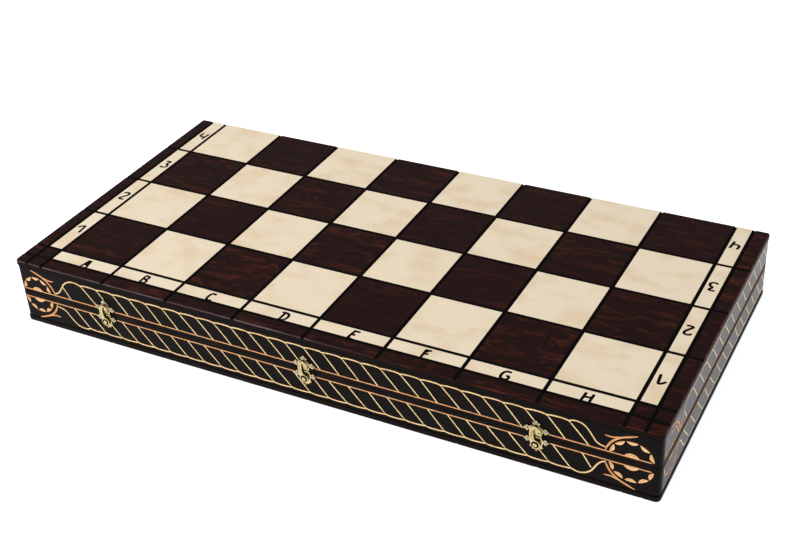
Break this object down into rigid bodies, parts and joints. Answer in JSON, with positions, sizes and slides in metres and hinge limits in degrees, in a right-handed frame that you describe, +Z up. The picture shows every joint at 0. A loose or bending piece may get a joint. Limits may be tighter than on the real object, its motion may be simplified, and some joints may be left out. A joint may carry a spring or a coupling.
{
  "type": "folding chess set",
  "caption": "Folding wooden chess board that closes into a shallow carved box, with brass hook latches at the front, hinges at the back and turned chessmen lying inside.",
  "frame": {"origin": "centre of the closed box's footprint, on the surface that it stands on", "axes": "+X along the box to the right of a person facing the hook latches, +Y from the latches towards the hinges, +Z up"},
  "size_m": [0.6, 0.3046, 0.065],
  "materials": {
    "field_wood": "cream and red-brown squares with black grooves, dark border, satin lacquer",
    "carved_wood": "near-black brown satin lacquer, carved through to tan wood",
    "felt": "deep green felt",
    "brass": "pale polished brass",
    "steel": "bright steel",
    "pale_wood": "pale turned wood, satin lacquer",
    "dark_wood": "dark brown turned wood, satin lacquer"
  },
  "bodies": {
    "lower_tray": {"lower_panel": "field_wood", "lower_front_wall": "carved_wood", "lower_back_wall": "carved_wood", "lower_left_wall": "carved_wood", "lower_right_wall": "carved_wood", "lower_felt_lining": "felt", "left_hinge_lower_leaf": "brass", "left_hinge_pin": "steel", "right_hinge_lower_leaf": "brass", "right_hinge_pin": "steel", "left_latch_lower_plate": "brass", "middle_latch_lower_plate": "brass", "right_latch_lower_plate": "brass", "pale_pawn_1": "pale_wood", "pale_pawn_2": "pale_wood", "pale_pawn_3": "pale_wood", "pale_pawn_4": "pale_wood", "pale_pawn_5": "pale_wood", "pale_pawn_6": "pale_wood", "pale_pawn_7": "pale_wood", "pale_pawn_8": "pale_wood", "pale_rook_1": "pale_wood", "pale_rook_2": "pale_wood", "pale_knight_1": "pale_wood", "pale_knight_2": "pale_wood", "pale_bishop_1": "pale_wood", "pale_bishop_2": "pale_wood", "pale_queen": "pale_wood", "pale_king": "pale_wood", "dark_pawn_1": "dark_wood", "dark_pawn_2": "dark_wood", "dark_pawn_3": "dark_wood", "dark_pawn_4": "dark_wood", "dark_pawn_5": "dark_wood", "dark_pawn_6": "dark_wood", "dark_pawn_7": "dark_wood", "dark_pawn_8": "dark_wood", "dark_rook_1": "dark_wood", "dark_rook_2": "dark_wood", "dark_knight_1": "dark_wood", "dark_knight_2": "dark_wood", "dark_bishop_1": "dark_wood", "dark_bishop_2": "dark_wood", "dark_queen": "dark_wood", "dark_king": "dark_wood"},
    "upper_tray": {"upper_panel": "field_wood", "upper_front_wall": "carved_wood", "upper_back_wall": "carved_wood", "upper_left_wall": "carved_wood", "upper_right_wall": "carved_wood", "upper_felt_lining": "felt", "left_hinge_upper_leaf": "brass", "right_hinge_upper_leaf": "brass", "left_latch_upper_plate": "brass", "middle_latch_upper_plate": "brass", "right_latch_upper_plate": "brass"},
    "left_hook": {"left_latch_hook": "brass"},
    "middle_hook": {"middle_latch_hook": "brass"},
    "right_hook": {"right_latch_hook": "brass"}
  },
  "joints": [
    {"name": "lid_hinge", "type": "hinge", "parent": "lower_tray", "child": "upper_tray", "pos_m": [0, 0.14975, 0.0325], "axis": [-1, 0, 0], "range_deg": [0, 180]},
    {"name": "left_hook_swing", "type": "hinge", "parent": "lower_tray", "child": "left_hook", "pos_m": [-0.2035, -0.1508, 0.0255], "axis": [0, -1, 0], "range_deg": [0, 100]},
    {"name": "middle_hook_swing", "type": "hinge", "parent": "lower_tray", "child": "middle_hook", "pos_m": [-0.0005, -0.1508, 0.0255], "axis": [0, -1, 0], "range_deg": [0, 100]},
    {"name": "right_hook_swing", "type": "hinge", "parent": "lower_tray", "child": "right_hook", "pos_m": [0.2025, -0.1508, 0.0255], "axis": [0, -1, 0], "range_deg": [0, 100]}
  ]
}
